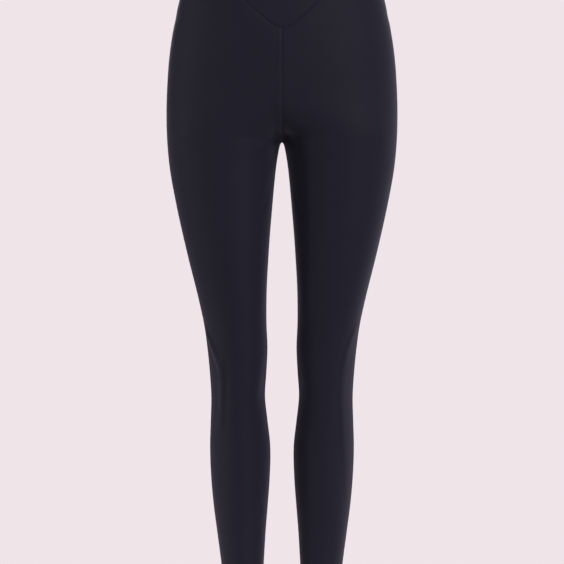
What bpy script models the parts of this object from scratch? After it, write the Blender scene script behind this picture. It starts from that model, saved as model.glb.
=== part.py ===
"""Leggings with a V-fronted waistband, in the form they have when they are worn.

Metres, +Z up. The wearer faces -Y, so +X is the wearer's left. The origin is the
centre of the waist opening. Each leg has a front and a back panel, which meet at the
side seam and the inseam; the centre seams run round the crotch in a U.
"""

from collections import namedtuple

import bpy
import numpy as np

MM = 0.001

# Driving dimensions, in metres.
WAIST_ABOVE_CROTCH = 268 * MM
WAIST_TILT = 5 * MM  # the top edge is this much lower in front and higher behind
INSEAM = 697 * MM
HEM_DEPTH = 22 * MM

CLOTH = 1.2 * MM  # one layer of the double-knit jersey
SEAM_GAP = 0.3 * MM  # clearance between two pieces at a seam
WAIST_SEAM_GAP = 0.36 * MM  # measured upwards, as the V's arms lie at a slant
BAND_STEP = 0.6 * MM  # the doubled waistband stands this much proud of the legs

CROTCH_CURVE = 90 * MM  # height of the U that the centre seams make at the crotch

# The waistband's lower seam, as heights above the crotch.
BAND_POINT = 159 * MM  # the V's point, which its rounding lifts by 6 mm
BAND_SIDE = 226 * MM  # level stretch at the sides and the back
V_SLOPE = 1.0
V_POINT_ROUNDING = 15 * MM
V_SIDE_ROUNDING = 14 * MM

# Mesh density.
PANEL_SEGMENTS = 12  # across a panel, between its two narrow seam strips
SEAM_STRIP = 0.012  # width of such a strip, as a share of the panel's width
CROTCH_ROWS = 8
HIP_ROWS = 4
BAND_ROWS = 4
UPPER_THIGH = 80 * MM
UPPER_THIGH_ROWS = 6
LEG_ROW = 25 * MM

# The garment's outline, top to bottom, in millimetres. Height is above the crotch,
# outer and inner are a leg's sides in the front view, front and back are the side
# view. Taper is how much narrower a section is at its front than at its back, and
# square is how far the oval is pushed out at its corners.
Section = namedtuple("Section", "height outer inner front back taper square")
OUTLINE = (
    Section(274.0, 137.0, 0.0, -95.0, 95.0, 0.00, 0.035),
    Section(214.5, 151.1, 0.0, -100.0, 101.0, 0.00, 0.045),
    Section(169.5, 161.9, 0.0, -103.0, 109.0, 0.00, 0.055),
    Section(124.5, 168.5, 0.0, -105.0, 117.0, 0.00, 0.065),
    Section(87.0, 171.2, 0.0, -105.0, 120.0, 0.00, 0.070),
    Section(49.5, 172.4, 0.0, -103.0, 117.0, 0.00, 0.065),
    Section(0.0, 171.1, 0.0, -99.0, 101.0, 0.00, 0.040),
    Section(-37.5, 167.4, 9.0, -96.0, 87.0, 0.00, 0.020),
    Section(-91.5, 157.7, 14.2, -91.0, 74.0, 0.00, 0.010),
    Section(-163.5, 141.6, 19.8, -84.0, 62.0, 0.00, 0.010),
    Section(-235.5, 123.8, 23.3, -74.0, 51.0, 0.03, 0.010),
    Section(-271.5, 116.0, 23.3, -69.0, 48.0, 0.08, 0.015),
    Section(-307.5, 111.1, 21.8, -65.0, 48.0, 0.15, 0.020),
    Section(-343.5, 107.8, 23.3, -59.0, 50.0, 0.20, 0.025),
    Section(-379.5, 105.8, 25.3, -52.0, 54.0, 0.22, 0.020),
    Section(-415.5, 106.6, 21.7, -47.0, 61.0, 0.20, 0.010),
    Section(-451.5, 107.6, 17.8, -44.0, 67.0, 0.17, 0.005),
    Section(-505.5, 105.5, 18.8, -40.0, 67.0, 0.13, 0.000),
    Section(-541.5, 102.1, 21.5, -37.0, 62.0, 0.10, 0.000),
    Section(-577.5, 97.4, 24.4, -33.0, 55.0, 0.08, 0.000),
    Section(-630.0, 90.4, 27.5, -29.0, 47.0, 0.05, 0.000),
    Section(-697.0, 83.5, 31.5, -25.0, 43.0, 0.03, 0.000),
)

CLOTH_COLOUR = (0.0176, 0.0168, 0.0222, 1.0)
CLOTH_ROUGHNESS = 0.72


def curve_through(knots, values, at):
    """Values at any places on a smooth curve through the knots."""
    slopes = np.gradient(values, knots)
    first = np.clip(np.searchsorted(knots, at) - 1, 0, len(knots) - 2)
    step = knots[first + 1] - knots[first]
    t = (at - knots[first]) / step
    start = values[first] + (values[first] * 2 + step * slopes[first]) * t
    end = values[first + 1] - (values[first + 1] * 2 - step * slopes[first + 1]) * (t - 1)
    return start * (1 - t) ** 2 + end * t**2


def outline_at(height):
    """The outline at each height above the crotch, with its lengths in metres."""
    columns = Section(*np.array(OUTLINE[::-1]).T)
    knots = columns.height * MM
    found = Section(*(curve_through(knots, column, height) for column in columns))

    # Close under the crotch the gap opens as the square root of the drop.
    legs = knots <= 0
    drop_knots = np.sqrt(-knots[legs])[::-1]
    drop = np.sqrt(np.maximum(-height, 0))
    inner = curve_through(drop_knots, columns.inner[legs][::-1], drop)
    return found._replace(
        height=height,
        outer=found.outer * MM,
        inner=inner * MM,
        front=found.front * MM,
        back=found.back * MM,
    )


def half_surface(turn, height):
    """Points of the garment's outer surface, on the +X half.

    Turn runs round the half: 0 at the centre front or inseam, 0.5 at the side seam
    and 1 at the centre back or inseam. Height is above the crotch. Every section is
    an oval. Above the crotch it reaches past the centre plane, further with height,
    and ends at that plane, so the ends draw the U of the centre seams.
    """
    turn, height = np.broadcast_arrays(turn, height)
    line = outline_at(height)

    # The oval's inner end crosses the plane, which cuts it at the start angle.
    climb = np.clip(height / CROTCH_CURVE, 0, 1)
    crossing = climb**2 * (3 - 2 * climb)
    inner = line.inner - line.outer * crossing
    half_width = (line.outer - inner) / 2
    start = np.arccos((1 - crossing) / (1 + crossing))

    angle = start + 2 * (np.pi - start) * turn
    forward = np.sin(angle)
    depth = (forward + line.square * np.sin(3 * angle)) / (1 - line.square)
    narrowing = (1 - line.taper * forward) / (1 + line.taper**2 / 2)
    x = inner + half_width * (1 - np.cos(angle) * narrowing)
    y = (line.front + line.back - (line.back - line.front) * depth) / 2
    return np.stack([x, y, height - WAIST_ABOVE_CROTCH], axis=-1)


def band_seam(turn):
    """Height of the waistband's lower seam: a V in front, level elsewhere."""
    x = half_surface(turn, (BAND_POINT + BAND_SIDE) / 2)[..., 0]
    arm = np.hypot(V_SLOPE * x, V_POINT_ROUNDING) - V_POINT_ROUNDING
    level = BAND_SIDE - BAND_POINT
    soft_corner = np.hypot(arm - level, V_SIDE_ROUNDING) - V_SIDE_ROUNDING
    rise = np.minimum((arm + level - soft_corner) / 2, level)
    return BAND_POINT + np.where(turn < 0.5, rise, level)


def waist_edge(turn):
    """Height of the top edge."""
    return WAIST_ABOVE_CROTCH - WAIST_TILT * np.cos(np.pi * turn)


def panel_turns(start):
    """Places across a panel half a turn wide, with a narrow strip at each seam."""
    inside = np.linspace(SEAM_STRIP, 1 - SEAM_STRIP, PANEL_SEGMENTS + 1)
    return start + 0.5 * np.concatenate([[0], inside, [1]])


def leg_heights(turn):
    """Heights of a leg panel's rows, hem to waist seam, at each place across it."""
    hem = (-INSEAM, HEM_DEPTH - INSEAM, HEM_DEPTH + CLOTH - INSEAM)
    below = np.arange(hem[-1] + LEG_ROW, -UPPER_THIGH, LEG_ROW)
    thigh = -UPPER_THIGH * np.linspace(1, 0, UPPER_THIGH_ROWS + 1) ** 2
    crotch = CROTCH_CURVE * np.linspace(0, 1, CROTCH_ROWS + 1)[1:] ** 2
    level_rows = np.concatenate([hem, below, thigh, crotch])
    share = np.linspace(0, 1, HIP_ROWS + 1)[1:, None]
    top = band_seam(turn) - WAIST_SEAM_GAP / 2
    hip_rows = CROTCH_CURVE + (top - CROTCH_CURVE) * share
    return np.vstack([np.repeat(level_rows[:, None], len(turn), axis=1), hip_rows])


def band_heights(turn):
    """Heights of a waistband piece's rows, from its seam to the top edge."""
    low = band_seam(turn) + WAIST_SEAM_GAP / 2
    share = np.linspace(0, 1, BAND_ROWS + 1)[:, None]
    return low + (waist_edge(turn) - low) * share


def surface_object(name, points, outward, material, collection):
    """An open surface through a grid of points, whose faces point outwards."""
    rows, columns = points.shape[:2]
    number = np.arange(rows * columns).reshape(rows, columns)
    corners = [number[:-1, :-1], number[:-1, 1:], number[1:, 1:], number[1:, :-1]]
    faces = np.stack(corners, axis=-1).reshape(-1, 4)[:, ::outward]
    mesh = bpy.data.meshes.new(name)
    mesh.from_pydata(points.reshape(-1, 3).tolist(), [], faces.tolist())
    mesh.shade_smooth()
    mesh.materials.append(material)
    piece = bpy.data.objects.new(name, mesh)
    collection.objects.link(piece)
    return piece


def add_wall(piece, thickness, outside=0.0):
    """Thicken a surface inwards, with a part of the thickness outside it."""
    wall = piece.modifiers.new("wall", "SOLIDIFY")
    wall.thickness = thickness
    wall.offset = 2 * outside / thickness - 1
    wall.use_rim = True
    return wall


def leg_panel(name, side, front, material, collection):
    """A front or back panel of one leg, with its hem turned up inside."""
    turn = panel_turns(0.0 if front else 0.5)
    points = half_surface(turn[None, :], leg_heights(turn))
    clear = SEAM_GAP / 2
    points += (clear, -clear if front else clear, 0)
    points *= (side, 1, 1)
    piece = surface_object(name, points, side, material, collection)

    # The wall is doubled up to the second row, and single from the third.
    hem = piece.vertex_groups.new(name="hem")
    hem.add(list(range(2 * len(turn))), 1.0, "REPLACE")
    wall = add_wall(piece, 2 * CLOTH)
    wall.vertex_group = hem.name
    wall.thickness_vertex_group = 0.5
    return piece


def waistband_piece(name, front, material, collection):
    """The front or back of the doubled waistband, from side seam to side seam."""
    turn = panel_turns(0.0 if front else 0.5)
    turn = np.delete(turn, 1 if front else -2)
    half = half_surface(turn[None, :], band_heights(turn))
    half[..., 1] += -SEAM_GAP / 2 if front else SEAM_GAP / 2
    mirrored = half[:, ::-1] * (-1, 1, 1)
    halves = [mirrored[:, :-1], half] if front else [half, mirrored[:, 1:]]
    points = np.concatenate(halves, axis=1)
    piece = surface_object(name, points, 1, material, collection)
    add_wall(piece, 2 * CLOTH, BAND_STEP)
    return piece


def cloth_material(name):
    """Plain near-black jersey."""
    material = bpy.data.materials.new(name)
    material.use_nodes = True
    shader = material.node_tree.nodes["Principled BSDF"]
    shader.inputs["Base Color"].default_value = CLOTH_COLOUR
    shader.inputs["Roughness"].default_value = CLOTH_ROUGHNESS
    shader.inputs["Metallic"].default_value = 0.0
    return material


def main():
    for old in list(bpy.data.objects):
        bpy.data.objects.remove(old)
    leggings = bpy.data.collections.new("leggings")
    bpy.context.scene.collection.children.link(leggings)

    for side, side_name in ((1, "left"), (-1, "right")):
        for front, face_name in ((True, "front"), (False, "back")):
            name = f"leg_{face_name}_{side_name}"
            leg_panel(name, side, front, cloth_material(name), leggings)
    for front, face_name in ((True, "front"), (False, "back")):
        name = f"waistband_{face_name}"
        waistband_piece(name, front, cloth_material(name), leggings)


main()
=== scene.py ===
import math
from collections import namedtuple

import bpy
import numpy as np
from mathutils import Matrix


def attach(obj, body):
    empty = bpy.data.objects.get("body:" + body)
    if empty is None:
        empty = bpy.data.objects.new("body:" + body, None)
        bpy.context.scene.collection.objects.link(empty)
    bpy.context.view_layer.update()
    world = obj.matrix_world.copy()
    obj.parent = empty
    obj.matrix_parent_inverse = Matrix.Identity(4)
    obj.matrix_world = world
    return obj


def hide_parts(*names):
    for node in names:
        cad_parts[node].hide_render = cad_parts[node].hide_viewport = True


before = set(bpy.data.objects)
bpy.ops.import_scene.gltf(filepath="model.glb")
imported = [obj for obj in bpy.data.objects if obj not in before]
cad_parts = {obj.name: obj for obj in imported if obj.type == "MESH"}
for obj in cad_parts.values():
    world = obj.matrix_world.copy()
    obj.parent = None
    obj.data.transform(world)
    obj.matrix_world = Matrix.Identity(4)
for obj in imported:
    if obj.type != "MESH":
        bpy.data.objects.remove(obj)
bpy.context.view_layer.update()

mm = 0.001

# The outline of one half, as in the solids, in millimetres. Heights are above the crotch.
# Taper narrows its front, and square fills out its corners.
Section = namedtuple("Section", "height outer inner front back taper square")
outline = (
    Section(274.0, 137.0, 0.0, -95.0, 95.0, 0.00, 0.035),
    Section(214.5, 151.1, 0.0, -100.0, 101.0, 0.00, 0.045),
    Section(169.5, 161.9, 0.0, -103.0, 109.0, 0.00, 0.055),
    Section(124.5, 168.5, 0.0, -105.0, 117.0, 0.00, 0.065),
    Section(87.0, 171.2, 0.0, -105.0, 120.0, 0.00, 0.070),
    Section(49.5, 172.4, 0.0, -103.0, 117.0, 0.00, 0.065),
    Section(0.0, 171.1, 0.0, -99.0, 101.0, 0.00, 0.040),
    Section(-37.5, 167.4, 9.0, -96.0, 87.0, 0.00, 0.020),
    Section(-91.5, 157.7, 14.2, -91.0, 74.0, 0.00, 0.010),
    Section(-163.5, 141.6, 19.8, -84.0, 62.0, 0.00, 0.010),
    Section(-235.5, 123.8, 23.3, -74.0, 51.0, 0.03, 0.010),
    Section(-271.5, 116.0, 23.3, -69.0, 48.0, 0.08, 0.015),
    Section(-307.5, 111.1, 21.8, -65.0, 48.0, 0.15, 0.020),
    Section(-343.5, 107.8, 23.3, -59.0, 50.0, 0.20, 0.025),
    Section(-379.5, 105.8, 25.3, -52.0, 54.0, 0.22, 0.020),
    Section(-415.5, 106.6, 21.7, -47.0, 61.0, 0.20, 0.010),
    Section(-451.5, 107.6, 17.8, -44.0, 67.0, 0.17, 0.005),
    Section(-505.5, 105.5, 18.8, -40.0, 67.0, 0.13, 0.000),
    Section(-541.5, 102.1, 21.5, -37.0, 62.0, 0.10, 0.000),
    Section(-577.5, 97.4, 24.4, -33.0, 55.0, 0.08, 0.000),
    Section(-630.0, 90.4, 27.5, -29.0, 47.0, 0.05, 0.000),
    Section(-697.0, 83.5, 31.5, -25.0, 43.0, 0.03, 0.000),
)

garment = {
    "waistAboveCrotch": 268 * mm,
    "waistTilt": 5 * mm,  # lower by this at the front, higher behind
    "inseam": 697 * mm,
    "crotchCurve": 90 * mm,  # height of the U in which the two legs become one
    "forkSoft": 32 * mm,  # how far below the crotch its sharp opening is eased
    "archPower": 18,  # how narrow the strip is that keeps the fork's outline there
    "archAt": 37.5 * mm,  # below the crotch, where it has that power
    "inLineFrom": 60 * mm,  # above it the two halves meet without a corner
    "bandPoint": 159 * mm,  # the V's point, which its rounding lifts by 6 mm
    "bandSide": 226 * mm,
    "vSlope": 1.0,
    "vPointRounding": 15 * mm,
    "vSideRounding": 14 * mm,
}

# A turn goes round one half, from the centre front to the centre back. Below the crotch it
# goes round one leg, from the inseam to the inseam.
atFront, atSide, atBack = 0.0, 0.5, 1.0


def unit(v):
    return v / np.maximum(np.linalg.norm(v, axis=-1, keepdims=True), 1e-12)


def smooth(low, high, x):  # 0 below low, 1 above high
    t = np.clip((x - low) / (high - low), 0, 1)
    return t * t * (3 - 2 * t)


def curveThrough(knots, values, at):  # smooth curve through a table's rows
    slopes = np.gradient(values, knots)
    first = np.clip(np.searchsorted(knots, at) - 1, 0, len(knots) - 2)
    step = knots[first + 1] - knots[first]
    t = (at - knots[first]) / step
    start = values[first] + (values[first] * 2 + step * slopes[first]) * t
    end = values[first + 1] - (values[first + 1] * 2 - step * slopes[first + 1]) * (t - 1)
    return start * (1 - t) ** 2 + end * t**2


def outlineAt(height):
    columns = Section(*np.array(outline[::-1]).T)
    knots = columns.height * mm
    found = Section(*(curveThrough(knots, column, height) for column in columns))
    # The fork opens as an arch does, so its inner side follows the root of the drop.
    legs = knots <= 0
    dropKnots = np.sqrt(-knots[legs])[::-1]
    drop = np.sqrt(np.maximum(-height, 0))
    inner = curveThrough(dropKnots, columns.inner[legs][::-1], drop)
    return found._replace(
        outer=found.outer * mm,
        inner=inner * mm,
        front=found.front * mm,
        back=found.back * mm,
    )


def halfSurface(turn, height):  # places on the +X half, before anything stands out from it
    turn, height = np.broadcast_arrays(turn, height)
    line = outlineAt(height)
    crossing = smooth(0, garment["crotchCurve"], height)
    eased = smooth(0, garment["forkSoft"], -height)  # the fork opens beside the inseam first
    inner = line.inner * eased - line.outer * crossing
    halfWidth = (line.outer - inner) / 2
    start = np.arccos((1 - crossing) / (1 + crossing))
    angle = start + 2 * (np.pi - start) * turn
    forward = np.sin(angle)
    depth = (forward + line.square * np.sin(3 * angle)) / (1 - line.square)
    narrowing = (1 - line.taper * forward) / (1 + line.taper**2 / 2)
    x = inner + halfWidth * (1 - np.cos(angle) * narrowing)
    # A strip along the inseam keeps the outline there, and is narrower near the crotch.
    below = np.maximum(-height, 0.01 * mm)
    power = garment["archPower"] * np.sqrt(garment["archAt"] / below)
    x += line.inner * (1 - eased) * ((1 + np.cos(angle)) / 2) ** power
    y = (line.front + line.back - (line.back - line.front) * depth) / 2
    return np.stack([x, y, height - garment["waistAboveCrotch"]], axis=-1)


def halfNormal(turn, height):
    dTurn, dHeight = 0.002, 0.6 * mm
    low, high = np.clip(turn - dTurn, atFront, atBack), np.clip(turn + dTurn, atFront, atBack)
    around = halfSurface(high, height) - halfSurface(low, height)
    up = halfSurface(turn, height + dHeight) - halfSurface(turn, height - dHeight)
    normal = unit(np.cross(around, up))
    ends = (turn < 1e-6) | (turn > 1 - 1e-6)
    onPlane = ends & (height > garment["inLineFrom"])
    normal[..., 0] = np.where(onPlane, 0, normal[..., 0])
    return unit(normal)


def bandSeam(turn):  # height of the seam between the legs and the waistband
    middle = (garment["bandPoint"] + garment["bandSide"]) / 2
    x = halfSurface(turn, middle)[..., 0]
    rounding = garment["vPointRounding"]
    arm = np.hypot(garment["vSlope"] * x, rounding) - rounding
    level = garment["bandSide"] - garment["bandPoint"]
    rounding = garment["vSideRounding"]
    corner = np.hypot(arm - level, rounding) - rounding
    rise = np.minimum((arm + level - corner) / 2, level)
    return garment["bandPoint"] + np.where(turn < atSide, rise, level)


def waistEdge(turn):
    return garment["waistAboveCrotch"] - garment["waistTilt"] * np.cos(np.pi * turn)


def across(turn, height):  # metres round the half for each turn, at a seam
    step = 0.004
    other = turn + step if turn < atSide else turn - step
    gap = halfSurface(other, height) - halfSurface(turn, height)
    return np.linalg.norm(gap, axis=-1) / step


def fromSeam(turn, seamTurn, height):  # metres round to a seam
    return np.abs(turn - seamTurn) * across(seamTurn, height)


def fromCentre(turn, height):  # metres round to the nearer centre seam, or to the inseam
    return np.minimum(fromSeam(turn, atFront, height), fromSeam(turn, atBack, height))


def runAlong(line):  # metres from the first point of a line to each of its points
    gaps = np.linalg.norm(np.diff(line, axis=-2), axis=-1)
    return np.concatenate([np.zeros(gaps.shape[:-1] + (1,)), np.cumsum(gaps, axis=-1)], axis=-1)


# Creases and soft ridges, one by one. Each runs through three places, A to B to C, on one
# half. Heights, width and depth are in millimetres, and a trough's depth is negative. Lean
# makes one flank longer than the other.
Crease = namedtuple("Crease", "half turnA heightA turnB heightB turnC heightC width depth lean")
creases = (
    # from the crotch, up and out over the front
    Crease(1, 0.060, -34, 0.118, -14, 0.190, 18, 9.0, -0.60, 0.0),
    Crease(1, 0.024, 40, 0.040, 66, 0.052, 98, 6.5, -0.45, 0.0),
    Crease(-1, 0.024, 4, 0.030, 28, 0.046, 64, 7.0, -1.30, -0.2),
    Crease(-1, 0.065, -34, 0.130, -22, 0.215, 8, 10.0, -0.60, 0.0),
    # down the inner thighs
    Crease(1, 0.152, 12, 0.147, -75, 0.140, -175, 14.0, 1.30, 0.2),
    Crease(1, 0.055, -60, 0.090, -96, 0.150, -140, 9.0, -0.55, 0.2),
    Crease(-1, 0.050, -52, 0.080, -84, 0.130, -120, 8.0, -0.45, -0.2),
    # ridges down the outer side of the knees
    Crease(-1, 0.474, -274, 0.412, -305, 0.352, -346, 7.0, 3.10, -0.50),
    Crease(-1, 0.354, -316, 0.360, -370, 0.378, -436, 8.0, 2.70, -0.50),
    Crease(1, 0.436, -272, 0.384, -310, 0.360, -352, 9.0, 1.30, -0.45),
    Crease(1, 0.360, -326, 0.366, -410, 0.396, -512, 10.0, 1.30, -0.45),
    # over and under the kneecaps
    Crease(-1, 0.130, -322, 0.220, -331, 0.320, -325, 6.0, -0.45, 0.0),
    Crease(-1, 0.110, -408, 0.230, -414, 0.310, -405, 6.5, -0.40, 0.2),
    Crease(1, 0.150, -328, 0.250, -335, 0.335, -330, 6.5, -0.40, 0.0),
    Crease(1, 0.120, -403, 0.220, -411, 0.330, -409, 6.0, -0.45, -0.2),
    # behind the knees
    Crease(1, 0.600, -346, 0.740, -355, 0.890, -348, 5.0, -1.25, 0.2),
    Crease(1, 0.660, -364, 0.770, -369, 0.870, -361, 4.2, -0.85, 0.0),
    Crease(1, 0.590, -386, 0.720, -382, 0.910, -391, 5.6, -1.15, -0.2),
    Crease(1, 0.680, -402, 0.760, -399, 0.850, -406, 4.4, -0.60, 0.0),
    Crease(-1, 0.620, -352, 0.750, -359, 0.880, -350, 5.4, -1.10, 0.1),
    Crease(-1, 0.640, -374, 0.780, -370, 0.900, -378, 4.6, -0.95, 0.0),
    Crease(-1, 0.600, -394, 0.700, -397, 0.820, -389, 5.2, -0.90, -0.2),
    # under the seat and over the backs of the thighs
    Crease(1, 0.610, 22, 0.760, -8, 0.950, -14, 12.0, -1.50, 0.2),
    Crease(1, 0.700, -34, 0.800, -48, 0.930, -52, 9.0, -0.70, 0.0),
    Crease(-1, 0.630, 16, 0.770, -10, 0.955, -10, 11.0, -1.40, 0.2),
    Crease(-1, 0.720, -40, 0.830, -56, 0.940, -54, 8.0, -0.60, 0.0),
    # round the ankles
    Crease(1, 0.080, -636, 0.240, -629, 0.440, -638, 5.0, -0.60, 0.2),
    Crease(1, 0.560, -650, 0.740, -644, 0.930, -652, 5.4, -0.65, 0.0),
    Crease(1, 0.600, -618, 0.720, -611, 0.850, -616, 5.0, -0.45, 0.0),
    Crease(-1, 0.140, -648, 0.300, -640, 0.460, -645, 5.2, -0.55, 0.0),
    Crease(-1, 0.060, -612, 0.180, -606, 0.330, -613, 5.6, -0.40, 0.2),
    Crease(-1, 0.580, -634, 0.760, -641, 0.900, -633, 5.0, -0.65, -0.2),
    # at the hips, where the waistband grips
    Crease(1, 0.360, 196, 0.470, 188, 0.600, 198, 9.0, -0.55, 0.0),
    Crease(-1, 0.400, 190, 0.500, 184, 0.640, 195, 9.5, -0.50, 0.0),
)
creaseForm = {
    "points": 41,  # along each crease
    "reach": 4,  # how many widths to each side it is worked out
    "endShare": 0.02,  # nearest to its ends that the fade is read
    "fade": 0.6,  # power of the fade towards its ends
    "fall": 0.8,  # how fast its flanks fall
    "rebound": 0.5,  # how far they swing back beyond the plain surface
}

# Broad soft forms: centre, half-lengths across and up, and how far they stand out. Half 0
# is a form on both halves.
Form = namedtuple("Form", "half turn height wide tall out")
forms = (
    Form(0, 0.250, -365, 26, 30, 1.2),  # fullness at the front of the knees
    Form(1, 0.130, -238, 23, 42, 2.9),  # above the inside of the knees
    Form(-1, 0.125, -236, 24, 46, 2.0),
    Form(-1, 0.105, -362, 15, 28, 1.5),  # at the inside of the knees
    Form(1, 0.110, -356, 15, 26, 1.2),
    Form(1, 0.150, -290, 20, 22, -1.2),  # a hollow between those two, on the left
    Form(1, 0.066, 3, 18, 14, -3.0),  # the cloth drawn in beside the crotch
    Form(-1, 0.070, -6, 18, 14, -1.2),
    Form(1, 0.055, 172, 24, 24, 0.9),  # under the V's point
    Form(1, 0.740, 62, 60, 42, 1.4),  # seat
    Form(-1, 0.745, 60, 60, 42, 1.4),
)
seatCleft = {
    "width": 15 * mm,
    "depth": 2.4 * mm,
    "low": 10 * mm,
    "high": 150 * mm,
    "fadeLow": 40 * mm,
    "fadeHigh": 70 * mm,
}

seam = {
    "radius": 0.66 * mm,  # of an edge as it turns in
    "allowance": 6 * mm,
    "allowanceRows": np.array([0.34, 0.67, 1]),  # shares of it
    # lines of points beside a folded edge
    "beside": np.array([0.7, 1.5, 2.4, 3.4, 4.6, 6.0, 7.6, 9.4, 11.4]) * mm,
    "room": 1.2 * mm,  # more radius where an allowance lies inside a fold
    "roomFades": (0.5 * mm, 6 * mm),  # past the allowance
    "closeFrom": 30 * mm,  # below the crotch, where the centre seams start to close
    "dip": 0.45 * mm,  # how far the stitches draw the cloth in
    "dipWidth": 2.6 * mm,
    "ridge": 0.30 * mm,  # raised by the allowance that lies under it
    "ridgeAt": 4.0 * mm,
    "ridgeWidth": 3.2 * mm,
    "pucker": 0.11 * mm,
    "puckerPitch": 9.3 * mm,
    "puckerReach": 8 * mm,
    # where each seam's ripples start
    "phases": {"front": 0.4, "back": 1.9, "side": 3.1, "inseam": 4.4, "waist": 5.3},
    "onBandSide": 0.6,  # how much of all this shows on the doubled waistband
    "onBandWaist": 0.7,
    "bead": 0.15 * mm,  # the centre seams' allowances, laid to the right
    "crotchBead": 0.45 * mm,  # more of it near the crotch
    "crotchBeadEnds": (30 * mm, 80 * mm),
    "crossCalm": (3 * mm, 20 * mm),  # no relief where the seams cross at the crotch
    "stopsCrease": 9 * mm,  # how far beside the centre seams a crease ends
    "stopsFrom": (-25 * mm, 5 * mm),  # heights over which that sets in
    "swell": 1.2 * mm,  # of the cloth under the waistband, which grips
    "swellTop": 14 * mm,
    "swellEnd": 60 * mm,
    "press": 0.22 * mm,  # depth of a row of hem stitches
    "pressWidth": 1.3 * mm,
    "pressRipple": 0.35,
    "pressPitch": 4.1 * mm,
    "hemRowsAt": (14.5 * mm, 19.5 * mm),  # above the hem's edge
}


def wave(along, pitch, phase):  # an uneven row of ripples
    driftPitch, swellPitch = 6.7 * pitch, 4.3 * pitch
    drift = 1.4 * np.sin(2 * np.pi * along / driftPitch + 2.1 * phase)
    swell = 0.62 + 0.38 * np.sin(2 * np.pi * along / swellPitch + 0.7 + phase)
    return swell * np.sin(2 * np.pi * along / pitch + drift + phase)


def seamRelief(away, along, phase):
    hump = (away - seam["ridgeAt"]) / seam["ridgeWidth"]
    out = seam["ridge"] * np.exp(-hump * hump)
    out -= seam["dip"] * np.exp(-((away / seam["dipWidth"]) ** 2))
    near = np.exp(-((away / seam["puckerReach"]) ** 2))
    return out + seam["pucker"] * near * wave(along, seam["puckerPitch"], phase)


def creaseLine(c):  # shares along a crease, its points and the way across it at each
    s = np.linspace(0, 1, creaseForm["points"])
    mix = [(1 - s) ** 2, 2 * s * (1 - s), s**2]
    bendTurn = 2 * c.turnB - (c.turnA + c.turnC) / 2  # the bend that takes it through B
    bendHeight = 2 * c.heightB - (c.heightA + c.heightC) / 2
    turn = mix[0] * c.turnA + mix[1] * bendTurn + mix[2] * c.turnC
    height = (mix[0] * c.heightA + mix[1] * bendHeight + mix[2] * c.heightC) * mm
    line = halfSurface(turn, height)
    return s, line, unit(np.cross(np.gradient(line, axis=0), halfNormal(turn, height)))


def creaseRelief(half, place):
    shape = place.shape[:-1]
    place = place.reshape(-1, 3)
    out = np.zeros(len(place))
    for c in creases:
        if c.half != half:
            continue
        s, line, side = creaseLine(c)
        width = c.width * mm
        margin = creaseForm["reach"] * width
        low, high = line.min(0) - margin, line.max(0) + margin
        near = np.nonzero(np.all((place > low) & (place < high), axis=1))[0]
        if not len(near):
            continue
        gap = place[near][:, None] - line[None]
        distance = np.linalg.norm(gap, axis=2)
        best = distance.argmin(1)
        pick = np.arange(len(near))
        lateral = (gap[pick, best] * side[best]).sum(1)
        u = distance[pick, best] / (width * (1 + c.lean * np.sign(lateral)))
        share = np.clip(s[best], creaseForm["endShare"], 1 - creaseForm["endShare"])
        fade = np.sin(np.pi * share) ** creaseForm["fade"]
        flank = (1 - creaseForm["rebound"] * u * u) * np.exp(-creaseForm["fall"] * u * u)
        out[near] += c.depth * mm * fade * flank
    return out.reshape(shape)


def formRelief(half, place):
    out = np.zeros(place.shape[:-1])
    for f in forms:
        if f.half not in (0, half):
            continue
        gap = place - halfSurface(f.turn, f.height * mm)
        up = gap[..., 2] / (f.tall * mm)
        flat = np.linalg.norm(gap[..., :2], axis=-1) / (f.wide * mm)
        out += f.out * mm * np.exp(-(up**2 + flat**2))
    return out


def seatRelief(place, turn, height):
    low, high = seatCleft["low"], seatCleft["high"]
    span = smooth(low, low + seatCleft["fadeLow"], height)
    span *= 1 - smooth(high - seatCleft["fadeHigh"], high, height)
    hollow = np.exp(-((place[..., 0] / seatCleft["width"]) ** 2))
    return np.where(turn > atSide, seatCleft["depth"] * span * hollow, 0)


def centreRelief(half, away, along, height, phase):  # a centre seam, and the inseam below it
    inseam = seamRelief(away, along, seam["phases"]["inseam"] + half)
    centreSeam = seamRelief(away, along, phase)
    bump = np.exp(-(((away - seam["ridgeAt"]) / seam["ridgeWidth"]) ** 2))
    nearCrotch = 1 - smooth(*seam["crotchBeadEnds"], height)
    centreSeam += bump * (seam["crotchBead"] * nearCrotch + seam["bead"]) * (-half)
    calm = smooth(*seam["crossCalm"], np.abs(height))
    return calm * np.where(height < 0, inseam, centreSeam)


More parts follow.
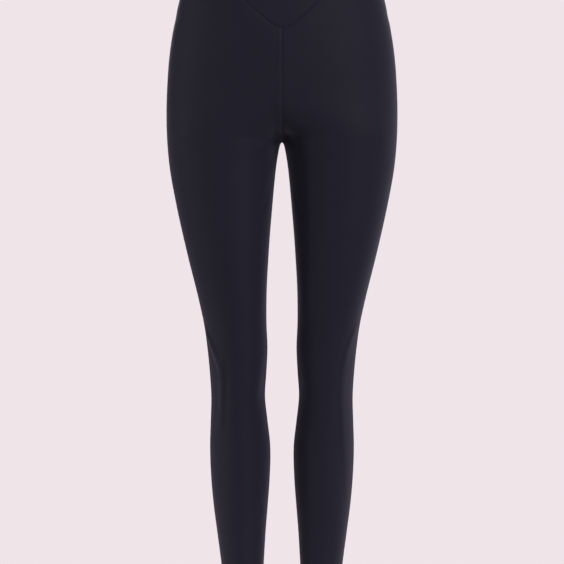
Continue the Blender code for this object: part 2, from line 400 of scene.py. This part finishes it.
def relief(half, turn, height, band=False):  # metres out from the plain surface
    place = halfSurface(turn, height)
    phases = seam["phases"]
    out = creaseRelief(half, place) + formRelief(half, place)
    held = smooth(*seam["stopsFrom"], height)
    out *= 1 - held * (1 - smooth(0, seam["stopsCrease"], fromCentre(turn, height)))
    out -= seatRelief(place, turn, height)
    along = height - place[..., 1]
    below = bandSeam(turn) - height
    aside = seamRelief(fromSeam(turn, atSide, height), along, phases["side"] + half)
    if band:
        out += aside * seam["onBandSide"]
        above = seamRelief(-below, place[..., 0] * half, phases["waist"])
        return out + above * seam["onBandWaist"]
    out += centreRelief(half, fromSeam(turn, atFront, height), along, height, phases["front"])
    out += aside
    out += centreRelief(half, fromSeam(turn, atBack, height), along, height, phases["back"])
    out += seamRelief(below, place[..., 0] * half, phases["waist"])
    swell = smooth(0, seam["swellTop"], below)
    swell *= 1 - smooth(seam["swellTop"], seam["swellEnd"], below)
    out += seam["swell"] * swell
    for at in seam["hemRowsAt"]:
        press = (height + garment["inseam"] - at) / seam["pressWidth"]
        ripple = wave(place[..., 0] + place[..., 1], seam["pressPitch"], at / mm)
        out -= seam["press"] * (1 + seam["pressRipple"] * ripple) * np.exp(-press * press)
    return out


def dress(half, turn, height, depth, band=False):  # places at a depth in the cloth
    normal = halfNormal(turn, height)
    out = relief(half, turn, height, band) - depth
    return halfSurface(turn, height) + normal * out[..., None]


def foldedEdge():  # from an edge's raw end to the surface: distance inside the seam, depth
    radius = seam["radius"]
    flat = radius + seam["allowance"] * seam["allowanceRows"][::-1]
    swing = np.linspace(np.pi, 0, 7)
    beside = radius + seam["beside"]
    inside = np.concatenate([flat, radius * (1 - np.sin(swing)), beside])
    curve = radius * (1 - np.cos(swing))
    depth = np.concatenate([np.full(len(flat), 2 * radius), curve, np.zeros(len(beside))])
    return inside, depth


def nearSeam(away):  # 1 where an allowance lies under the cloth
    reach = seam["radius"] + seam["allowance"]
    start, end = seam["roomFades"]
    return 1 - smooth(reach + start, reach + end, away)


def panelColumns(startTurn, endTurn, startHeight, endHeight, count, folded=(True, True)):
    # Turns of a panel's columns on each row, and the depth that its folded edges add.
    inside, depth = foldedEdge()
    rows = len(startHeight)
    blocks, depths = [], []
    ends = ((startTurn, startHeight, 1), (endTurn, endHeight, -1))
    for (turn, height, way), fold in zip(ends, folded):
        if fold:
            speed = across(turn, height)
            blocks.append(turn + way * inside / speed[:, None])
            depths.append(depth)
        else:
            blocks.append(np.full((rows, 1), turn))
            depths.append(np.zeros(1))
    low, high = blocks[0][:, -1:], blocks[1][:, -1:]
    share = np.linspace(0, 1, count + 2)[1:-1]
    middle = low + (high - low) * share
    turns = np.concatenate([blocks[0], middle, blocks[1][:, ::-1]], axis=1)
    depth = np.concatenate([depths[0], np.zeros(count), depths[1][::-1]])
    return np.clip(turns, atFront, atBack), depth


def closeSeam(points, height, front):
    # From just below the crotch up, the folded edges of both halves are drawn together.
    inside, depth = foldedEdge()
    edges = points if front else points[:, ::-1]
    fold = depth > 0
    radius, last = seam["radius"], seam["beside"][-1]
    reach = np.where(fold, 0, (inside - radius) / (last - radius))
    held = smooth(-seam["closeFrom"], 0, height)
    gap = edges[:, : len(depth)][:, fold, 0].min(axis=1) - outlineAt(height).inner
    edges[:, : len(depth), 0] -= (gap * held)[:, None] * (1 - smooth(0, 1, reach))
    points[..., 0] = np.maximum(points[..., 0], 0)


def newPiece(name, points, faces, grain, material):
    # The grain is the two measures, in metres, that the cloth's and threads' finish follows.
    mesh = bpy.data.meshes.new(name)
    mesh.from_pydata(points.reshape(-1, 3).tolist(), [], faces)
    mesh.shade_smooth()
    mesh.materials.append(material)
    corner = np.zeros(len(mesh.loops), np.int32)
    mesh.loops.foreach_get("vertex_index", corner)
    layer = mesh.uv_layers.new(name="grain")
    layer.data.foreach_set("uv", grain.reshape(-1, 2)[corner].astype(np.float32).ravel())
    piece = bpy.data.objects.new(name, mesh)
    bpy.context.scene.collection.objects.link(piece)
    return piece


def clothPiece(name, points, outward, thickness, material):
    rows, columns = points.shape[:2]
    number = np.arange(rows * columns).reshape(rows, columns)
    corners = [number[:-1, :-1], number[:-1, 1:], number[1:, 1:], number[1:, :-1]]
    faces = np.stack(corners, axis=-1).reshape(-1, 4)[:, ::outward]
    middle = columns // 2  # u runs to both sides of it, and v along it
    u = runAlong(points)
    u -= u[:, middle : middle + 1]
    v = runAlong(points[:, middle])[:, None] + np.zeros(columns)
    piece = newPiece(name, points, faces.tolist(), np.stack([u, v], axis=-1), material)
    wall = piece.modifiers.new("cloth", "SOLIDIFY")
    wall.thickness = thickness
    wall.offset = -1
    wall.use_rim = True
    return piece


# A row of points across a panel. At is a height or a share of the way up, below is how far
# under the waist seam, swing the angle round a fold, and run the way along the layer inside.
Row = namedtuple("Row", "part at below swing run", defaults=(0, 0, 0, 0))


def foldAround(radius, depth, swing):  # how far out a fold reaches, and how deep
    return (radius - depth) * math.sin(swing), radius - (radius - depth) * math.cos(swing)


def turnsOf(front):  # where a panel or a waistband piece starts and ends
    return (atFront, atSide) if front else (atSide, atBack)


legPanel = {
    "cloth": 0.6 * mm,
    "middleColumns": 60,
    "legRow": 3.2 * mm,
    "thighTop": 80 * mm,  # below the crotch, where the rows start to crowd towards it
    "thighRows": 28,
    "crotchRows": 42,
    "crowding": 1.5,
    "hipRows": 20,
    "waistRows": np.array([11.2, 9.2, 7.5, 6.0, 4.8, 3.8, 3.0]) * mm,  # under the waist seam
    "hemDepth": 22 * mm,
    "hemShort": 3 * mm,  # how much lower the layer inside ends
    "hemRadius": 0.9 * mm,  # of the turned edge
    "hemStart": 0.6 * mm,  # above the fold, the first level row
    "hemAbove": 4 * mm,
    "stitchRow": 1.5 * mm,  # closer rows where the hem's stitches sit
}


def legRows():
    # A leg panel from the raw edge of its hem, inside, down and round the fold, up the
    # leg, over the fold at the waist seam and down inside to the raw edge there.
    hem, inseam, curve = legPanel["hemDepth"], garment["inseam"], garment["crotchCurve"]
    run = np.linspace(hem - legPanel["hemShort"], 0, 9)[:-1]
    rows = [Row("hem", swing=np.pi, run=r) for r in run]
    rows += [Row("hem", swing=s) for s in np.linspace(np.pi, 0, 8)]
    low = -inseam + legPanel["hemRadius"] + seam["room"] + legPanel["hemStart"]
    high = -inseam + hem + legPanel["hemAbove"]
    count = int((high - low) / legPanel["stitchRow"])
    rows += [Row("level", at) for at in np.linspace(low, high, count)]
    thigh = -legPanel["thighTop"]
    count = int((thigh - high) / legPanel["legRow"])
    rows += [Row("level", at) for at in np.linspace(high, thigh, count)[1:]]
    share = np.linspace(1, 0, legPanel["thighRows"] + 1)[1:]
    rows += [Row("level", thigh * s ** legPanel["crowding"]) for s in share]
    share = np.linspace(0, 1, legPanel["crotchRows"] + 1)[1:]
    rows += [Row("level", curve * s ** legPanel["crowding"]) for s in share]
    below = legPanel["waistRows"]
    share = np.linspace(0, 1, legPanel["hipRows"] + 1)[1:-1]
    rows += [Row("hip", s, below[0]) for s in share]
    rows += [Row("hip", 1, b) for b in below]
    rows += [Row("top", swing=s) for s in np.linspace(0, np.pi, 7)]
    run = seam["allowance"] * seam["allowanceRows"]
    rows += [Row("top", swing=np.pi, run=r) for r in run]
    return rows


def rowHeights(rows, turn, depth, room):
    # Heights and depths of a leg panel's points, for its turns on each row.
    turn = np.broadcast_to(turn, (len(rows), np.shape(turn)[-1]))
    heights, depths = np.zeros(turn.shape), np.zeros(turn.shape)
    curve = garment["crotchCurve"]
    for i, row in enumerate(rows):
        top = bandSeam(turn[i])
        if row.part == "level":
            heights[i], depths[i] = row.at, depth
        elif row.part == "hip":
            heights[i], depths[i] = curve + (top - row.below - curve) * row.at, depth
        elif row.part == "hem":
            radius = legPanel["hemRadius"] + room[i] * seam["room"]
            out, depths[i] = foldAround(radius, depth, row.swing)
            heights[i] = radius - garment["inseam"] - out + row.run
        else:
            radius = seam["radius"] + room[i] * seam["room"]
            out, depths[i] = foldAround(radius, depth, row.swing)
            heights[i] = top - radius + out - row.run
    return heights, depths


def makeLegPanel(name, half, front, material):
    startTurn, endTurn = turnsOf(front)
    rows = legRows()
    none = np.zeros((len(rows), 1))
    startHeight = rowHeights(rows, np.array([startTurn]), np.zeros(1), none)[0][:, 0]
    endHeight = rowHeights(rows, np.array([endTurn]), np.zeros(1), none)[0][:, 0]
    count = legPanel["middleColumns"]
    turn, depth = panelColumns(startTurn, endTurn, startHeight, endHeight, count)
    fromStart = fromSeam(turn, startTurn, startHeight[:, None])
    fromEnd = fromSeam(turn, endTurn, endHeight[:, None])
    room = nearSeam(np.minimum(fromStart, fromEnd))
    heights, depths = rowHeights(rows, turn, depth, room)
    points = dress(half, turn, heights, depths)
    closeSeam(points, startHeight if front else endHeight, front)
    points *= (half, 1, 1)
    return clothPiece(name, points, half, legPanel["cloth"], material)


waistband = {
    "cloth": 0.85 * mm,
    "middleColumns": 52,
    "rows": 24,
    "spacedAt": 20 * mm,  # above the seam at the sides, where its columns are measured
    "proud": 0.5 * mm,  # outside the legs' cloth
    "clear": 0.1 * mm,  # between the layers inside
    "seamRadius": 0.9 * mm,
    "seamGap": 0.3 * mm,  # how far inside the legs' cloth it passes through the seam
    "foldRadius": 0.95 * mm,
    "foldRoom": 1.1 * mm,  # more of it over the side seams' allowances
    "outerRows": (6 * mm, 4 * mm, 2 * mm, 0.7 * mm, 0.25 * mm),
    "throughRows": (0.15, 0.5, 0.85),
    "innerRows": (-6 * mm, -3.5 * mm, -1 * mm, 2 * mm, 4 * mm, 6 * mm),
}


def bandRows():
    # A waistband piece from its outer layer's raw edge, inside, out through the seam,
    # up, over the top fold and down to the inner layer's raw edge.
    beside = waistband["seamRadius"] + seam["beside"][:-1]
    share = np.linspace(0, 1, waistband["rows"] + 1)
    rows = [Row("outerRaw", at) for at in waistband["outerRows"]]
    rows += [Row("through", at) for at in waistband["throughRows"]]
    rows += [Row("lip", swing=s) for s in np.linspace(np.pi / 2, 0, 5)]
    rows += [Row("above", at) for at in beside]
    rows += [Row("rise", at) for at in share[1:]]
    rows += [Row("fold", swing=s) for s in np.linspace(0, np.pi, 9)]
    rows += [Row("fall", at) for at in np.linspace(1, 0, waistband["rows"] + 1)[1:]]
    rows += [Row("innerRaw", at) for at in waistband["innerRows"]]
    return rows


def bandHeights(rows, turn, depth, room, under):
    # Heights and depths of a waistband piece's points, for its turns on each row.
    base, top = bandSeam(turn), waistEdge(turn)
    foldRadius = waistband["foldRadius"] + room * waistband["foldRoom"]
    lip, proud, clear = waistband["seamRadius"], waistband["proud"], waistband["clear"]
    reach = lip + seam["beside"][-2]  # above the seam, where the even rows start
    heights, depths = np.zeros(turn.shape), np.zeros(turn.shape)
    for i, row in enumerate(rows):
        part, at, low, radius = row.part, row.at, base[i], foldRadius[i]
        high = top[i] - radius
        outer, inner = depth - proud, 2 * radius - depth - proud
        if part == "outerRaw":
            heights[i], depths[i] = low - at, under[i] + depth
        elif part == "through":
            start, end = under[i] - waistband["seamGap"], lip - proud
            heights[i], depths[i] = low, start * (1 - at) + end * at + depth
        elif part == "lip":
            heights[i] = low + lip * (1 - math.sin(row.swing))
            depths[i] = lip * (1 - math.cos(row.swing)) - proud + depth
        elif part == "above":
            heights[i], depths[i] = low + at, outer
        elif part == "fold":
            out, deep = foldAround(radius, depth, row.swing)
            heights[i], depths[i] = high + out, deep - proud
        elif part == "innerRaw":
            settle = smooth(-seam["allowance"], seam["allowance"], at)
            deepest = under[i] + 2 * radius + clear - depth
            heights[i] = low - at
            depths[i] = inner * (1 - settle) + deepest * settle
        else:
            heights[i] = low + reach + (high - low - reach) * at
            depths[i] = outer if part == "rise" else inner
    return heights, depths


def makeBand(name, front, material):
    startTurn, endTurn = turnsOf(front)
    rows = bandRows()
    level = np.full(len(rows), garment["bandSide"] + waistband["spacedAt"])
    count = waistband["middleColumns"]
    folded = (not front, front)
    turn, depth = panelColumns(startTurn, endTurn, level, level, count, folded)
    fromSide = fromSeam(turn, atSide, level[:, None])
    room = nearSeam(fromSide)
    legRoom = nearSeam(np.minimum(fromSide, fromCentre(turn, level[:, None])))
    under = 2 * (seam["radius"] + legRoom * seam["room"]) + waistband["clear"]
    heights, depths = bandHeights(rows, turn, depth, room, under)
    made = []
    for half in (-1, 1):
        points = dress(half, turn, heights, depths, band=True)
        points[..., 0] = np.maximum(points[..., 0], 0)
        points[:, 0 if front else -1, 0] = 0
        made.append(points * (half, 1, 1))
    right, left = made
    parts = [right[:, :0:-1], left] if front else [left, right[:, -2::-1]]
    return clothPiece(name, np.concatenate(parts, axis=1), 1, waistband["cloth"], material)


class Signal:  # a node's output, which can be used in sums
    def __init__(self, shading, socket):
        self.shading, self.socket = shading, socket

    def beside(self, output):  # another output of the same node
        return Signal(self.shading, self.socket.node.outputs[output])

    def __add__(self, other):
        return self.shading.maths("ADD", self, other)

    def __sub__(self, other):
        return self.shading.maths("SUBTRACT", self, other)

    def __rsub__(self, other):
        return self.shading.maths("SUBTRACT", other, self)

    def __mul__(self, other):
        return self.shading.maths("MULTIPLY", self, other)

    def __truediv__(self, other):
        return self.shading.maths("DIVIDE", self, other)

    def __rtruediv__(self, other):
        return self.shading.maths("DIVIDE", other, self)

    def __pow__(self, other):
        return self.shading.maths("POWER", self, other)

    def __rpow__(self, other):
        return self.shading.maths("POWER", other, self)

    __radd__ = __add__
    __rmul__ = __mul__


class Shading:  # the nodes of one material, or of the surroundings
    def __init__(self, owner, shader="Principled BSDF", end="Material Output"):
        owner.use_nodes = True
        self.owner, self.tree = owner, owner.node_tree
        self.shader, self.end = self.tree.nodes[shader], self.tree.nodes[end]
        self.surface = Signal(self, self.shader.outputs[0])

    def feed(self, node, place, value):
        socket = node.inputs[place]
        if isinstance(value, Signal):
            self.tree.links.new(value.socket, socket)
        else:
            socket.default_value = value

    def node(self, kind, settings=None, sockets=None, output=0):
        made = self.tree.nodes.new(kind)
        for key, value in (settings or {}).items():
            setattr(made, key, value)
        for place, value in (sockets or {}).items():
            self.feed(made, place, value)
        return Signal(self, made.outputs[output])

    def maths(self, operation, *values):
        return self.node("ShaderNodeMath", {"operation": operation}, dict(enumerate(values)))

    def ripple(self, turns):  # from 0 to 1 and back, once for each whole turn
        return self.maths("SINE", turns * (2 * math.pi)) * 0.5 + 0.5

    def mixColour(self, factor, first, second):  # sockets 6 and 7 are the colours A and B
        sockets = {0: factor, 6: first, 7: second}
        return self.node("ShaderNodeMix", {"data_type": "RGBA"}, sockets, 2)

    def noise(self, vector, scale, detail=2.0):
        sockets = {"Vector": vector, "Scale": scale, "Detail": detail}
        return self.node("ShaderNodeTexNoise", {}, sockets)

    def bump(self, height, strength, distance, **under):
        sockets = {"Height": height, "Strength": strength, "Distance": distance, **under}
        return self.node("ShaderNodeBump", {}, sockets)

    def grain(self):  # the two measures that a piece's grain layer holds
        layer = self.node("ShaderNodeUVMap", {"uv_map": "grain"})
        first = self.node("ShaderNodeSeparateXYZ", {}, {0: layer})
        return first, first.beside("Y")

    def finish(self, values):
        for place, value in values.items():
            self.feed(self.shader, place, value)
        return self.owner


jersey = {
    "deep": (0.0067, 0.0061, 0.0124, 1.0),
    "plain": (0.0101, 0.0093, 0.0180, 1.0),
    "wale": 0.62 * mm,
    "course": 0.48 * mm,
    "armSlant": 0.5,  # of a course
    "groove": 4,  # power that makes the gap between two wales narrow
    "loopHeight": 0.06 * mm,
    "loopBump": 0.45,
    "drift": (5.0, 3.0),  # scale and detail of the broad unevenness of its colour
    "fleck": (900.0, 1.0),
    "soft": (38.0, 2.0),
    "softHeight": 0.35 * mm,
    "softBump": 0.5,
    # shares of the colour's unevenness: drift and fleck are the yarn's own tone, and the loops'
    # share is painted shade, darker in the knit's grooves
    "tone": {"drift": 0.55, "loops": 0.35, "fleck": 0.35, "less": 0.1},
    "fleckHeight": 0.3,
    "roughness": 0.66,
    "fleckRough": 0.08,
    "driftSmooth": 0.05,
    "sheen": 0.18,
    "sheenRoughness": 0.42,
    "sheenTint": (0.80, 0.77, 1.0, 1.0),
    "specular": 0.14,
}


def jerseyMaterial(name, shift):
    s = Shading(bpy.data.materials.new(name))
    u, v = s.grain()
    # One wale: two slanted arms that meet in a V at its middle.
    arm = s.maths("ABSOLUTE", s.maths("FRACT", u / jersey["wale"]) * 2 - 1)
    yarn = s.ripple(v / jersey["course"] - arm * jersey["armSlant"])
    column = 1 - arm ** jersey["groove"]
    loops = yarn * 0.5 + column * 0.5
    place = s.node("ShaderNodeTexCoord", output="Object")
    shifted = s.node("ShaderNodeVectorMath", {"operation": "ADD"}, {0: place, 1: (shift, 0, 0)})
    drift = s.noise(shifted, *jersey["drift"])
    fleck = s.noise(place, *jersey["fleck"])
    soft = s.noise(place, *jersey["soft"])
    # Drift and fleck are the yarn's own uneven tone. The loops darken the colour where they sink,
    # which is painted shade in the grooves between wales and courses.
    shares = jersey["tone"]
    tone = drift * shares["drift"] + loops * shares["loops"] + fleck * shares["fleck"]
    knit = loops + fleck * jersey["fleckHeight"]
    fine = s.bump(knit, jersey["loopBump"], jersey["loopHeight"])
    wide = s.bump(soft, jersey["softBump"], jersey["softHeight"], Normal=fine)
    rough = jersey["roughness"] + fleck * jersey["fleckRough"] - drift * jersey["driftSmooth"]
    return s.finish(
        {
            "Base Color": s.mixColour(tone - shares["less"], jersey["deep"], jersey["plain"]),
            "Roughness": rough,
            "Normal": wide,
            "Specular IOR Level": jersey["specular"],
            "Sheen Weight": jersey["sheen"],
            "Sheen Roughness": jersey["sheenRoughness"],
            "Sheen Tint": jersey["sheenTint"],
        }
    )


thread = {
    "colour": (0.0085, 0.0078, 0.0148, 1.0),
    "plyShade": 0.6,  # of that colour: painted shade in the grooves between its plies
    "plyPitch": 0.55 * mm,
    "plyHeight": 0.05 * mm,
    "plyBump": 0.5,
    "roughness": 0.5,
    "plySmooth": 0.08,
    "specular": 0.2,
    "sheen": 0.1,
    "radius": 0.17 * mm,
    "sides": 5,
    "stitch": 3.0 * mm,
    "gap": 0.5 * mm,  # between two stitches, outside
    "stitchDepths": np.array([0.30, -0.04, -0.13, -0.13, -0.04, 0.30]) * mm,
    "coverClear": 0.1 * mm,  # inside the hem's inner layer
    "ringPoints": 801,  # round a hem, to measure it
    "overlockRadius": 0.14 * mm,
    "overlockSides": 4,
    "overlockPitch": 3.2 * mm,
    "overlockTop": 9 * mm,  # how far under the waist seam it ends
    "overlockPoints": 400,  # to measure each of three stretches by
    "overlockNear": 20 * mm,  # the middle stretch, above and below the crotch
}

# One turn of the overlock round a raw edge: share of its pitch, and millimetres past the
# fold and in from the allowance's face.
Beat = namedtuple("Beat", "share reach depth")
overlockTurn = (
    Beat(0, 1.7, 0.12),
    Beat(0.34, 5.8, 0.12),
    Beat(0.5, 6.3, -0.4),
    Beat(0.66, 5.8, 0.12),
)


def threadMaterial(name):
    s = Shading(bpy.data.materials.new(name))
    along, around = s.grain()
    ply = s.ripple(along / thread["plyPitch"] + around)
    # Darker between the plies: painted shade in the grooves of the twist.
    plyGrooveShade = tuple(c * thread["plyShade"] for c in thread["colour"][:3]) + (1.0,)
    return s.finish(
        {
            "Base Color": s.mixColour(ply, plyGrooveShade, thread["colour"]),
            "Roughness": thread["roughness"] - ply * thread["plySmooth"],
            "Normal": s.bump(ply, thread["plyBump"], thread["plyHeight"]),
            "Specular IOR Level": thread["specular"],
            "Sheen Weight": thread["sheen"],
        }
    )


def tubes(name, lines, outward, radius, sides, material):
    # Thin tubes along many lines of the same number of points, with closed ends.
    count, length = lines.shape[:2]
    ahead = unit(np.gradient(lines, axis=1))
    beside = unit(np.cross(ahead, outward))
    upward = np.cross(beside, ahead)
    angle = np.linspace(0, 2 * np.pi, sides, endpoint=False)
    ring = np.cos(angle)[:, None] * upward[:, :, None]
    ring += np.sin(angle)[:, None] * beside[:, :, None]
    number = np.arange(count * length * sides).reshape(count, length, sides)
    after = np.roll(number, -1, axis=2)
    quads = np.stack([number[:, :-1], number[:, 1:], after[:, 1:], after[:, :-1]], axis=-1)
    faces = quads.reshape(-1, 4).tolist()
    faces += number[:, 0].tolist()
    faces += number[:, -1, ::-1].tolist()
    run = runAlong(lines)[:, :, None]
    grain = np.stack(np.broadcast_arrays(run, angle / (2 * np.pi)), axis=-1)
    return newPiece(name, lines[:, :, None] + ring * radius, faces, grain, material)


def onCloth(half, turn, height, depth):  # a place at a depth in the cloth, and its outward way
    turn, height, depth = np.broadcast_arrays(turn, height, depth)
    flip = np.array([half, 1, 1])
    points = dress(half, turn, height, depth)
    points[..., 0] = np.maximum(points[..., 0], 0)
    return points * flip, halfNormal(turn, height) * flip


def hemRing(height):  # turns round a hem, the metres to each, and how many stitches fit
    turn = np.linspace(atFront, atBack, thread["ringPoints"])
    run = runAlong(halfSurface(turn, np.full(len(turn), height)))
    return turn, run, int(run[-1] / thread["stitch"])


def hemStitches(name, half, material):
    # Two rows of twin-needle stitches round one hem, outside.
    depth = thread["stitchDepths"]
    lines, outward = [], []
    for at in seam["hemRowsAt"]:
        height = at - garment["inseam"]
        turn, run, count = hemRing(height)
        pitch = run[-1] / count
        start = np.arange(count)[:, None] * pitch + thread["gap"] / 2
        where = start + (pitch - thread["gap"]) * np.linspace(0, 1, len(depth))
        points, normals = onCloth(half, np.interp(where, run, turn), height, depth)
        lines.append(points)
        outward.append(normals)
    lines, outward = np.concatenate(lines), np.concatenate(outward)
    return tubes(name, lines, outward, thread["radius"], thread["sides"], material)


def hemCover(name, half, material):
    # The looper threads that cover the hem's raw edge, inside.
    low, high = seam["hemRowsAt"]
    turn, run, count = hemRing((low + high) / 2 - garment["inseam"])
    where = np.linspace(0, run[-1], 4 * count + 1)
    zig = np.resize([0, 1, 1, 0], len(where))
    height = np.where(zig, high, low) - garment["inseam"]
    place = np.interp(where, run, turn)
    away = np.minimum(fromCentre(place, height), fromSeam(place, atSide, height))
    layers = 2 * (legPanel["hemRadius"] + nearSeam(away) * seam["room"])
    points, normals = onCloth(half, place, height, layers + thread["coverClear"])
    return tubes(name, points[None], -normals[None], thread["radius"], thread["sides"], material)


def overlockLine(half, turn, way):
    # The thread that wraps the raw edge of one panel's allowance, from hem to waist.
    low = legPanel["hemDepth"] - garment["inseam"]
    high = float(bandSeam(np.array([turn]))[0]) - thread["overlockTop"]
    near, points = thread["overlockNear"], thread["overlockPoints"]
    ends = (low, -near, near, high)
    stretches = [np.linspace(start, end, points)[1:] for start, end in zip(ends, ends[1:])]
    heights = np.concatenate([[low], *stretches])
    run = runAlong(halfSurface(np.full(len(heights), turn), heights))
    count = int(run[-1] / thread["overlockPitch"])
    share, reach, depth = np.array(overlockTurn).T
    where = ((np.arange(count)[:, None] + share) * (run[-1] / count)).ravel()
    reach = seam["radius"] + np.tile(reach, count) * mm
    depth = 2 * seam["radius"] + np.tile(depth, count) * mm
    height = np.interp(where, run, heights)
    place = turn + way * reach / across(turn, height)
    return onCloth(half, np.clip(place, atFront, atBack), height, depth)


def overlock(name, half, front, material):
    startTurn, endTurn = turnsOf(front)
    made = [overlockLine(half, startTurn, 1), overlockLine(half, endTurn, -1)]
    length = min(len(points) for points, _ in made)
    lines = np.stack([points[:length] for points, _ in made])
    outward = np.stack([normals[:length] for _, normals in made])
    return tubes(name, lines, -outward, thread["overlockRadius"], thread["overlockSides"], material)


bothHalves = ((1, "left"), (-1, "right"))
bothFaces = ((True, "front"), (False, "back"))

print("panels")
jerseyCloth = jerseyMaterial("jersey", 0.0)
bandCloth = jerseyMaterial("doubledJersey", 3.7)
threads = threadMaterial("sewingThread")
pieces = {}
for half, side in bothHalves:
    for front, face in bothFaces:
        piece = makeLegPanel(f"{face}Panel_{side}", half, front, jerseyCloth)
        pieces[f"leg_{face}_{side}"] = piece
for front, face in bothFaces:
    pieces[f"waistband_{face}"] = makeBand(f"waistband{face.title()}", front, bandCloth)

print("sewing")
sewing = {}
for half, side in bothHalves:
    for front, face in bothFaces:
        node = f"leg_{face}_{side}"
        sewing[node] = [overlock(f"overlock_{face}_{side}", half, front, threads)]
    sewing[f"leg_front_{side}"] += [
        hemStitches(f"hemStitches_{side}", half, threads),
        hemCover(f"hemCover_{side}", half, threads),
    ]
for node, piece in pieces.items():
    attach(piece, "root")
    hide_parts(node)
    for stitched in sewing.get(node, []):
        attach(stitched, "root")

print("studio")
studio = {
    "floor": -1.035,  # where feet would stand, below the hems
    "floorReach": 1.8,
    "floorFades": (0.3, 0.97),  # shares of its reach between which it fades out
    "floorTones": ((0.84, 0.76, 0.79, 1), (0.87, 0.79, 0.82, 1)),
    "floorPatches": 3.0,
    "floorGlow": 0.62,  # as if lit like the backdrop
    "floorRoughness": 0.9,
    "floorSpecular": 0.1,
    "pale": (239, 229, 233),
    "ambience": 0.05,  # of the pale surroundings, as light on the cloth
    "cameraDistance": 6.0,
    "cameraHeight": -0.4765,
    "focal": 256.4,
    "sensor": 36.0,
}
coolLight, coolerLight = (0.97, 0.96, 1.0), (0.96, 0.96, 1.0)
Lamp = namedtuple("Lamp", "name place aim size watts colour")
lamps = (
    Lamp("frontRight", (1.7, -2.8, 0.3), (0, 0, -0.45), (1.2, 1.8), 23, coolLight),
    Lamp("highRight", (1.6, -2.3, 1.7), (0, 0, -0.35), (1.2, 1.0), 66, coolLight),
    Lamp("frontLeft", (-1.9, -2.4, 0.3), (0, 0, -0.45), (1.2, 1.6), 22, coolerLight),
    Lamp("keyRight", (2.4, -1.3, 0.2), (0, 0, -0.45), (0.9, 2.4), 15, coolLight),
    Lamp("sideLeft", (-2.6, -0.15, 0.3), (0, 0, -0.2), (0.8, 0.9), 18, coolerLight),
    Lamp("kneeLeft", (-2.6, -0.15, -0.9), (0, 0, -0.7), (0.8, 0.9), 8.5, coolerLight),
    Lamp("rimRight", (2.2, 1.2, 0.0), (0, 0, -0.45), (0.6, 2.4), 7, coolLight),
    Lamp("behind", (-0.5, 3.0, 0.9), (0, 0, -0.45), (1.4, 1.4), 34, coolLight),
    Lamp("highBehind", (0.4, 2.4, 2.3), (0, 0, -0.45), (1.6, 1.2), 80, coolLight),
)


def linear(value):  # of a screen value from 0 to 255
    c = value / 255
    return c / 12.92 if c < 0.04045 else ((c + 0.055) / 1.055) ** 2.4


def surroundings():  # the pale backdrop for the camera, and a weak light for the cloth
    pale = tuple(linear(c) for c in studio["pale"]) + (1.0,)
    sky = Shading(bpy.data.worlds.new("studio"), "Background", "World Output")
    backdrop = sky.node("ShaderNodeBackground", {}, {"Color": pale})
    seen = sky.node("ShaderNodeLightPath", output="Is Camera Ray")
    either = sky.node("ShaderNodeMixShader", {}, {0: seen, 1: sky.surface, 2: backdrop})
    sky.feed(sky.end, 0, either)
    return sky.finish({"Color": pale, "Strength": studio["ambience"]})


def hangLamp(lamp):
    data = bpy.data.lights.new(lamp.name, "AREA")
    data.shape = "RECTANGLE"
    data.size, data.size_y = lamp.size
    data.energy, data.color = lamp.watts, lamp.colour
    hung = bpy.data.objects.new(lamp.name, data)
    hung.location = lamp.place
    away = np.array(lamp.place) - np.array(lamp.aim)
    flat = math.hypot(away[0], away[1])
    hung.rotation_euler = (math.atan2(flat, away[2]), 0, math.atan2(away[0], -away[1]))
    hung.visible_camera = False
    return hung


def makeCamera():
    data = bpy.data.cameras.new("camera")
    data.lens, data.sensor_width = studio["focal"], studio["sensor"]
    data.clip_start, data.clip_end = 0.1, 60
    camera = bpy.data.objects.new("camera", data)
    camera.location = (0, -studio["cameraDistance"], studio["cameraHeight"])
    camera.rotation_euler = (math.pi / 2, 0, 0)
    return camera


def floorMaterial():  # pale, and clear towards its edges
    s = Shading(bpy.data.materials.new("studioFloor"))
    place = s.node("ShaderNodeTexCoord", output="Object")
    distance = s.node("ShaderNodeVectorMath", {"operation": "LENGTH"}, {0: place}, "Value")
    start, end = (share * studio["floorReach"] for share in studio["floorFades"])
    eased = {"interpolation_type": "SMOOTHSTEP"}
    fade = s.node("ShaderNodeMapRange", eased, {0: distance, 1: start, 2: end})
    clear = s.node("ShaderNodeBsdfTransparent")
    blend = s.node("ShaderNodeMixShader", {}, {0: fade, 1: s.surface, 2: clear})
    s.feed(s.end, 0, blend)
    tone = s.mixColour(s.noise(place, studio["floorPatches"]), *studio["floorTones"])
    return s.finish(
        {
            "Base Color": s.mixColour(studio["floorGlow"], tone, (0, 0, 0, 1)),
            "Emission Color": tone,
            "Emission Strength": studio["floorGlow"],
            "Roughness": studio["floorRoughness"],
            "Specular IOR Level": studio["floorSpecular"],
        }
    )


def makeFloor():
    mesh = bpy.data.meshes.new("floor")
    reach = studio["floorReach"]
    corners = [(-reach, -reach, 0), (reach, -reach, 0), (reach, reach, 0), (-reach, reach, 0)]
    mesh.from_pydata(corners, [], [(0, 1, 2, 3)])
    mesh.materials.append(floorMaterial())
    floor = bpy.data.objects.new("floor", mesh)
    floor.location = (0, 0, studio["floor"])
    return floor


scene = bpy.context.scene
scene.world = surroundings()
scene.view_settings.view_transform = "Standard"
scene.view_settings.look = "None"
camera, floor = makeCamera(), makeFloor()
for thing in (camera, floor, *map(hangLamp, lamps)):
    scene.collection.objects.link(thing)
scene.camera = camera
